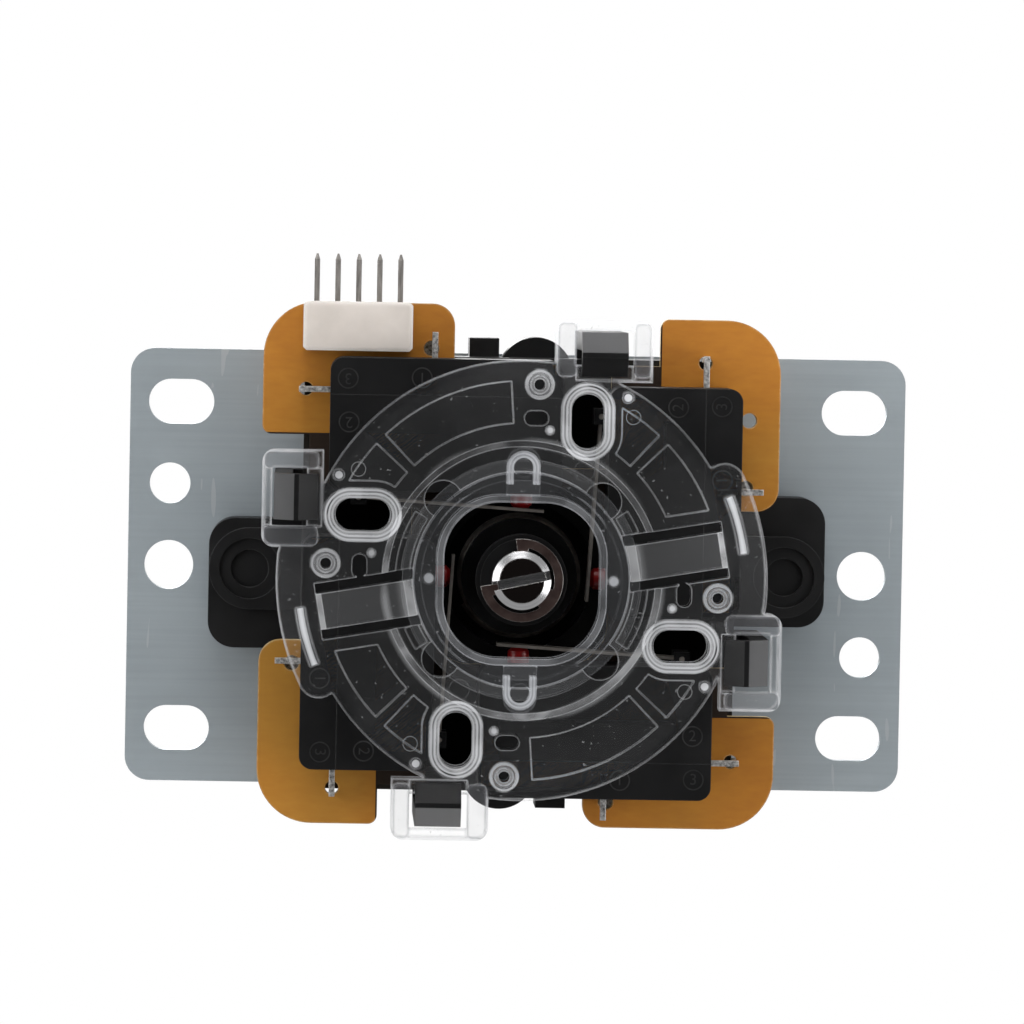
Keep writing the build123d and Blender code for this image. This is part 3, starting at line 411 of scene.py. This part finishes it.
def metal(
    name,
    low,
    high,
    roughness,
    grain=(600.0, 600.0, 600.0),
    depth=0.008 * MM,
    metallic=1.0,
    edge=None,
    foot=None,
):
    """Drawn or turned metal, with fine marks between two tones, a painted highlight of paler colour along the
    edges and, if wanted, a stained foot.
    """
    f = new_finish(name)
    marks = f.noise(f.place(grain), 1.0, 4.0)
    tone = f.ramp(marks, (0.3, low), (0.7, high))
    if foot is not None:
        tone = f.mix(f.split(f.place())[2] < foot, tone, rgb(0.1, 0.08, 0.075))
    # Painted highlight: paler colour along the edges.
    if edge:
        tone = f.mix(f.near_edge(edge, 0.2) * 0.8, tone, rgb(0.85, 0.84, 0.82))
    return f.surface(
        Base_Color=tone,
        Metallic=metallic,
        Roughness=roughness + marks * 0.1,
        Normal=f.bump(marks, depth, 0.4, edge),
    )


def clear_plastic(name, raised_level, face_level, calm_reach, details, tint):
    """Clear moulding: flat walls are see-through with faint haze and dust, and edges, slopes and raised rims
    are pale with painted highlights.

    Faces below the raised level are bosses and rims, and those below the face level are seen from below.
    Inside the calm reach the painted edge highlights hardly show, apart from the bore.
    """
    f = new_finish(name)
    place = f.place()
    x, y, z = f.split(place)
    side, out, radius = quarter_place(x, y)
    facing = f.facing()[2]
    upright = abs(facing)
    clouds = f.noise(place, 90.0, 1.0)
    patches = smooth_step(f.noise(place, 260.0, 1.0), 0.35, 0.62)
    dust = smooth_step(f.noise(place, 2600.0, 0.0), 0.8, 0.83)
    flat = 0.014 + clouds * 0.016 + dust * 0.2

    rim = radius > RIM_RADIUS
    under = facing < 0.3
    inside = (radius < UPPER_RADIUS) * (z > face_level)
    beside_bore = abs(radius - BORE_RADIUS) > 0.25 * MM
    calm = (past_opening(x, y) > 0.0) * (radius < calm_reach) * beside_bore
    # Painted edge highlights: pale lines along sharp edges, stronger on faces that do not face up, faint in
    # the calm reach and inside.
    strength = (0.64 + patches * 0.34) * (0.3 + under * 0.7) * (1.0 - larger(calm * 0.85, inside * 0.6))
    edge_highlights = f.near_edge(0.23 * MM + rim * (0.22 * MM), 0.05) * strength

    # Painted highlights on slopes, broken up by clouds on the step ring.
    slope = smooth_step(upright, 0.15, 0.35) * (1.0 - smooth_step(upright, 0.9, 0.985))
    ring = band(radius, STEP_INSIDE, STEP_OUTSIDE, 0.2 * MM)
    broken_ring = 1.0 - ring * (1.0 - smooth_step(clouds, 0.42, 0.62)) * 0.7
    slope_highlights = slope * (1.0 - calm * 0.7) * (0.2 + patches * 0.26) * broken_ring

    raised = z < raised_level
    at = SimpleNamespace(f=f, place=place, x=x, y=y, side=side, out=out, radius=radius)
    # The details are painted highlights on the relief.
    shown = details(at, patches, raised)
    alpha = larger(larger(flat, edge_highlights), slope_highlights)
    alpha = larger(alpha, shown * (z < face_level) * (facing < -0.9))
    # Painted grey shade on the rim and the raised grips, for how the thick clear wall looks.
    rim_and_grip_shade = larger(rim * 0.35, raised * (radius > GRIP_RADIUS)) * (shown < 0.4)
    return f.surface(
        Base_Color=f.mix(rim_and_grip_shade, tint, rgb(0.26, 0.265, 0.28)),
        Roughness=0.14 + patches * 0.1,
        IOR=1.49,
        Alpha=f.node("ShaderNodeClamp", None, {0: alpha, 1: 0.0, 2: 0.9}),
        Normal=f.bump(clouds, 0.02 * MM, 0.3),
    )


def frame_details(at, patches, raised):
    """Painted highlights on the boss ridges, pips, grips, tongues, ejector marks and step of the gate frame,
    each as strong as it shows.
    """
    slot = way_off(at.side, at.out, SLOT_MIDDLE, SLOT_HALF)
    shown = band(slot, 1.95, 3.15) * (0.2 + waves(slot + 0.1, 0.42) * 0.4 + patches * 0.12)
    post = way_off(at.side, at.out, POST_MIDDLE)
    shown = larger(shown, band(post, 1.42, 1.72) * 0.42 + band(post, 0.6, 1.2, 0.2) * 0.26)
    for middle, inside, outside in PIPS:
        pip = 1.0 - smooth_step(way_off(at.side, at.out, middle), inside, outside)
        shown = larger(shown, pip * (0.55 + patches * 0.25))

    # Painted highlight along the middle of the grips.
    on_grip = smooth_step(abs(at.x) - abs(at.y), 0.0, 0.2 * MM) * (at.x * at.y < 0.0)
    middle_line = 1.0 - smooth_step(abs(at.radius - 26.5 * MM), 0.05 * MM, 0.6 * MM)
    grips = (at.radius > GRIP_RADIUS) * (0.14 + patches * 0.06 + on_grip * middle_line * 0.6)
    shown = larger(shown, raised * grips)

    beside = abs(at.x * math.sin(TONGUE_TURN) + at.y * math.cos(TONGUE_TURN))
    along = abs(at.x * math.cos(TONGUE_TURN) - at.y * math.sin(TONGUE_TURN))
    on_tongue = (beside < 2.16 * MM) * (along > 12.8 * MM) * (along < 24.6 * MM)
    # Painted highlight at the tongue's tip.
    tip_highlight = 1.0 - smooth_step(along, 12.9 * MM, 15.2 * MM)
    shown = larger(shown, on_tongue * (0.07 + tip_highlight * 0.36))

    for middle, radius, strength in EJECTOR_MARKS:
        away = way_off(at.side, at.out, middle)
        shown = larger(shown, band(away, radius - 0.04, radius + 0.04, 0.05) * strength)
    # Painted highlight on the step, broken up by clouds.
    step_highlight = band(at.radius, 16.0 * MM, 16.8 * MM, 0.6 * MM)
    clouds = smooth_step(at.f.noise(at.place, 62.0, 0.0), 0.42, 0.6)
    return larger(shown, step_highlight * clouds * 0.4)


def insert_details(at, patches, raised):
    """Painted highlights on the tabs, pips and wall of the gate insert, each as strong as it shows."""
    arch = way_off(at.x, abs(at.y), (0.0, 12.4), 1.0)
    tabs = band(arch, 1.15, 2.0) * (abs(at.y) > 11.4 * MM) * (0.2 + waves(arch, 0.4) * 0.26 + patches * 0.12)
    pips = 1.0 - smooth_step(way_off(abs(at.x), at.y, (11.0, 0.0)), 0.4, 0.72)
    wall = raised * (past_opening(at.x, at.y) < 0.0) * (0.1 + patches * 0.12)
    return larger(larger(tabs, pips * (0.4 + patches * 0.3)), wall)


def circled_number(digit, middle, level):
    """Mesh of one digit in its circle, to be read from below, at a place in millimetres."""
    curve = bpy.data.curves.new("number", "FONT")
    curve.body = digit
    curve.size = DIGIT_SIZE
    curve.align_x = "CENTER"
    curve.align_y = "CENTER"
    curve.extrude = HALF_DEPTH
    writing = bpy.data.objects.new("number", curve)
    shape = bpy.data.meshes.new_from_object(writing)
    bpy.data.objects.remove(writing)
    bpy.data.curves.remove(curve)
    number = bmesh.new()
    number.from_mesh(shape)
    circle = bmesh.ops.create_circle(number, segments=36, radius=CIRCLE_RADIUS)
    edges = list({edge for vert in circle["verts"] for edge in vert.link_edges})
    grown = bmesh.ops.extrude_edge_only(number, edges=edges)["geom"]
    ring_verts = [part for part in grown if isinstance(part, bmesh.types.BMVert)]
    ring_faces = [part for part in grown if isinstance(part, bmesh.types.BMFace)]
    bmesh.ops.scale(number, vec=(CIRCLE_GROWTH, CIRCLE_GROWTH, 1.0), verts=ring_verts)
    bmesh.ops.solidify(number, geom=ring_faces, thickness=HALF_DEPTH)
    bmesh.ops.rotate(number, verts=number.verts, matrix=Matrix.Rotation(math.pi, 3, "Y"))
    bmesh.ops.translate(number, verts=number.verts, vec=(middle[0] * MM, middle[1] * MM, level))
    number.to_mesh(shape)
    number.free()
    return shape


def terminal_numbers(station, turn, material):
    """Small circled numbers beside the terminals of one switch, almost flush in its cover."""
    level = lowest("north_cover") - STANDING_PROUD + HALF_DEPTH
    marks = bmesh.new()
    for digit, middle in NUMBERS:
        shape = circled_number(digit, middle, level)
        marks.from_mesh(shape)
        bpy.data.meshes.remove(shape)
    bmesh.ops.rotate(marks, verts=marks.verts, matrix=Matrix.Rotation(math.radians(turn), 3, "Z"))
    bmesh.ops.recalc_face_normals(marks, faces=marks.faces)
    mesh = bpy.data.meshes.new(f"{station}_numbers")
    marks.to_mesh(mesh)
    marks.free()
    mesh.materials.append(material)
    piece = bpy.data.objects.new(f"{station}_numbers", mesh)
    bpy.context.scene.collection.objects.link(piece)
    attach(piece, "base")


def cover_nodes(names, material):
    """Gives CAD nodes their material."""
    for name in names:
        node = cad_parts[name]
        if not node.material_slots:
            node.data.materials.append(material)
        for material_slot in node.material_slots:
            material_slot.material = material


def switch_nodes(*pieces):
    return [f"{station}_{piece}" for station in STATIONS for piece in pieces]


def look_from_below():
    """Sets the camera under the lever, where the photograph was taken, with its slight lean and roll."""
    eye = Vector((-24.0, -36.7, -852.0)) * MM
    target = Vector((-0.5, -7.1, 0.0)) * MM
    roll = math.radians(1.06)
    forward = (target - eye).normalized()
    right = forward.cross(Vector((-math.sin(roll), -math.cos(roll), 0.0))).normalized()
    up = right.cross(forward)
    data = bpy.data.cameras.new("camera")
    data.sensor_width = 36.0
    data.lens = 244.0
    data.clip_start = 0.01
    data.clip_end = 10.0
    camera = bpy.data.objects.new("camera", data)
    camera.matrix_world = Matrix.Translation(eye) @ Matrix((right, up, -forward)).transposed().to_4x4()
    bpy.context.scene.collection.objects.link(camera)
    bpy.context.scene.camera = camera


def softbox(name, place, size, power):
    """A soft square lamp at a place in millimetres, aimed at the lever."""
    data = bpy.data.lights.new(name, "AREA")
    data.shape = "SQUARE"
    data.size = size
    data.energy = power
    lamp = bpy.data.objects.new(name, data)
    lamp.location = Vector(place) * MM
    lamp.rotation_mode = "QUATERNION"
    lamp.rotation_quaternion = (-lamp.location).to_track_quat("-Z", "Y")
    bpy.context.scene.collection.objects.link(lamp)


def light_the_lever():
    """Soft lamps to the sides and above, and a world that is bright all round but dark behind the camera."""
    softbox("lamp_left", (-640.0, -120.0, -260.0), 0.5, 2.6)
    softbox("lamp_right", (640.0, 60.0, -260.0), 0.5, 2.6)
    softbox("lamp_top", (-60.0, -640.0, -260.0), 0.4, 2.0)
    softbox("lamp_above", (-250.0, -300.0, 620.0), 0.5, 7.0)
    softbox("lamp_side", (420.0, -380.0, 200.0), 0.4, 3.0)
    softbox("lamp_back", (100.0, 520.0, 260.0), 0.4, 3.0)
    world = bpy.data.worlds.new("studio")
    world.use_nodes = True
    bpy.context.scene.world = world
    f = Finish(world)
    path = f.node("ShaderNodeLightPath").socket.node.outputs
    camera_ray, clear_ray = Wire(f, path["Is Camera Ray"]), Wire(f, path["Is Transmission Ray"])
    height = f.split(f.node("ShaderNodeTexCoord", output=0))[2]
    surround = 0.035 + smooth_step(height, -0.86, -0.6) * 0.4
    strength = larger(larger(camera_ray, clear_ray), surround)
    shader = f.node("ShaderNodeBackground", None, {"Color": rgb(1.0, 1.0, 1.0), "Strength": strength})
    f.node("ShaderNodeOutputWorld", None, {"Surface": shader})


def pale_floor():
    """Floor under the gate: seen from above it is pale and keeps the shadow, seen from below it is clear."""
    mesh = bpy.data.meshes.new("floor")
    plane = bmesh.new()
    bmesh.ops.create_grid(plane, x_segments=1, y_segments=1, size=3.0)
    bmesh.ops.translate(plane, verts=plane.verts, vec=(0.0, 0.0, cad_box[0].z - 0.02 * MM))
    plane.to_mesh(mesh)
    plane.free()
    floor = bpy.data.objects.new("floor", mesh)
    bpy.context.scene.collection.objects.link(floor)
    f = new_finish("floor")
    path = f.node("ShaderNodeLightPath").socket.node.outputs
    camera_ray, diffuse_ray = Wire(f, path["Is Camera Ray"]), Wire(f, path["Is Diffuse Ray"])
    from_below = f.node("ShaderNodeNewGeometry", output=6)
    shown = larger(camera_ray, diffuse_ray) * (1.0 - from_below)
    pale = f.node("ShaderNodeBsdfDiffuse", None, {"Color": rgb(0.86, 0.86, 0.86)})
    clear = f.node("ShaderNodeBsdfTransparent")
    shader = f.node("ShaderNodeMixShader", None, {0: shown, 1: clear, 2: pale})
    f.node("ShaderNodeOutputMaterial", None, {"Surface": shader})
    mesh.materials.append(f.owner)


look_from_below()
light_the_lever()
pale_floor()

black = black_plastic()
white = white_plastic()
bright_steel = metal("bright_steel", rgb(0.5, 0.5, 0.51), rgb(0.66, 0.66, 0.67), 0.22, edge=0.1 * MM)
turned_steel = metal(
    "turned_steel",
    rgb(0.55, 0.55, 0.56),
    rgb(0.7, 0.7, 0.71),
    0.2,
    grain=(150.0, 150.0, 5000.0),
    depth=0.006 * MM,
    edge=0.08 * MM,
    foot=lowest("shaft") + 0.02 * MM,
)
dark_steel = metal("dark_steel", rgb(0.15, 0.1, 0.09), rgb(0.24, 0.17, 0.155), 0.35, edge=0.09 * MM)
spring_steel = metal("spring_steel", rgb(0.34, 0.31, 0.28), rgb(0.5, 0.46, 0.42), 0.35, metallic=0.7)
tinned = metal(
    "tinned_pin",
    rgb(0.12, 0.115, 0.11),
    rgb(0.8, 0.79, 0.77),
    0.35,
    grain=(3000.0, 3000.0, 600.0),
    depth=0.02 * MM,
    metallic=0.6,
    edge=0.16 * MM,
)
dark_pin = metal(
    "dark_pin",
    rgb(0.16, 0.15, 0.14),
    rgb(0.34, 0.32, 0.3),
    0.4,
    grain=(3000.0, 300.0, 3000.0),
    depth=0.02 * MM,
    metallic=0.6,
)
copper = metal("copper_alloy", rgb(0.5, 0.28, 0.13), rgb(0.62, 0.38, 0.2), 0.3)
number_black = metal("number_black", rgb(0.06, 0.06, 0.06), rgb(0.1, 0.1, 0.1), 0.45)
clear_frame = clear_plastic(
    "clear_frame",
    raised_level=lowest("gate_frame") + 0.15 * MM,
    face_level=lowest("gate_frame") + 2.1 * MM,
    calm_reach=12.7 * MM,
    details=frame_details,
    tint=rgb(0.86, 0.87, 0.89),
)
clear_insert = clear_plastic(
    "clear_insert",
    raised_level=lowest("gate_insert") + 0.08 * MM,
    face_level=lowest("gate_insert") + 4.0 * MM,
    calm_reach=16.5 * MM,
    details=insert_details,
    tint=rgb(0.82, 0.84, 0.88),
)

cover_nodes(["mounting_plate"], zinc_steel())
cover_nodes(["housing"], black_plastic("black_housing", sheen_below=lowest("housing") + 8.3 * MM))
cover_nodes(["dust_washer", "pivot_ball", "actuator", "thrust_washer", *switch_nodes("base", "cover")], black)
cover_nodes(["ball_top"], ball_gloss())
cover_nodes(["circuit_board"], amber_board())
cover_nodes(["header_body", "pivot_liner"], white)
cover_nodes(["header_pins"], dark_pin)
cover_nodes(["plate_screws"], bright_steel)
cover_nodes(["shaft"], turned_steel)
cover_nodes(["e_clip"], dark_steel)
cover_nodes(["return_spring", *switch_nodes("leaf")], spring_steel)
cover_nodes(switch_nodes("side_terminal", "end_terminal"), tinned)
cover_nodes(switch_nodes("blade"), copper)
cover_nodes(switch_nodes("plunger"), red_plastic())
cover_nodes(["gate_frame"], clear_frame)
cover_nodes(["gate_insert"], clear_insert)

for station, turn in STATIONS.items():
    terminal_numbers(station, turn, number_black)

bpy.context.scene.view_settings.view_transform = "Standard"
